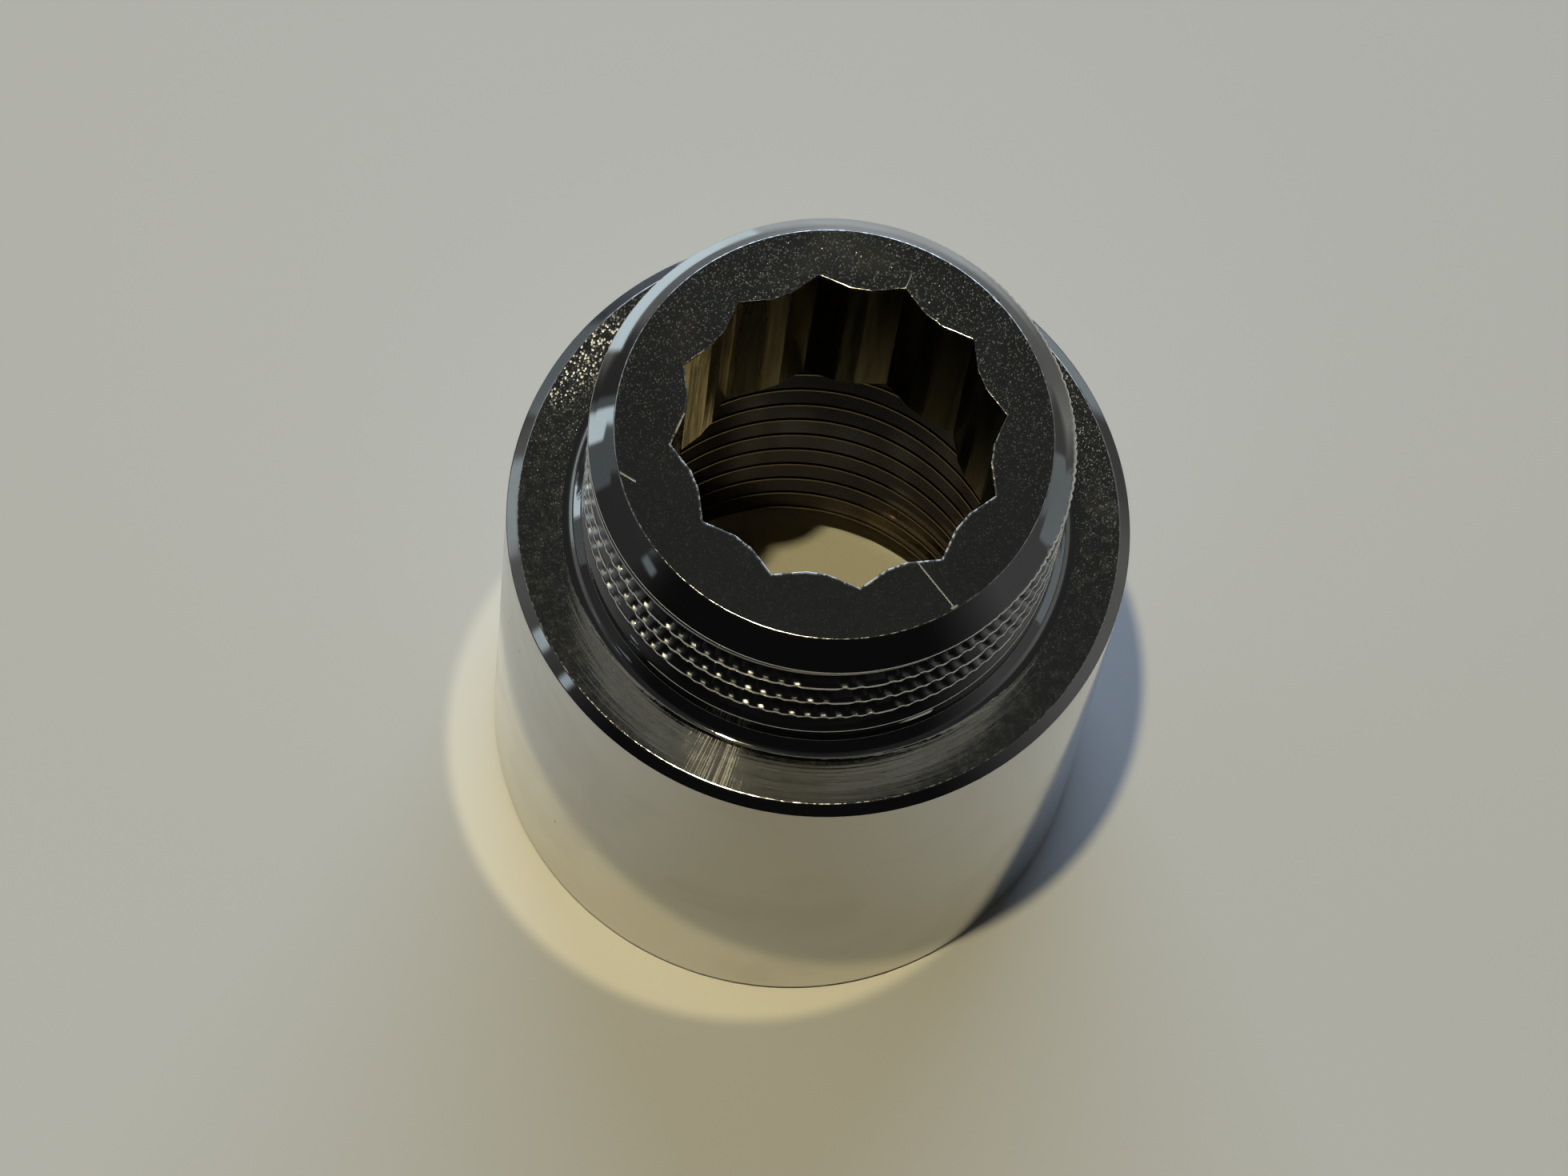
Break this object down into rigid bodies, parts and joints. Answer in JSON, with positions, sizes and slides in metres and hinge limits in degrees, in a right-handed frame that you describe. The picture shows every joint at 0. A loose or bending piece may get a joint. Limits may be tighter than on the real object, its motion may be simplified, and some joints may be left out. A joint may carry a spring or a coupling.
{
  "type": "tap extender",
  "caption": "Round chrome-plated brass tap extender with a male pipe thread on top, a tapped socket of the same thread below and a twelve-point key hole through the middle.",
  "frame": {"origin": "centre of the body's lower rim, where the socket's mouth is", "axes": "+Z along the axis, from the socket's mouth to the spigot's nose; +X and +Y square to it"},
  "size_m": [0.0274, 0.0274, 0.0351],
  "materials": {
    "chromed_brass": "polished chrome plate over brass, bare brass in the bore"
  },
  "bodies": {
    "root": {"tap_extender": "chromed_brass"}
  },
  "joints": []
}
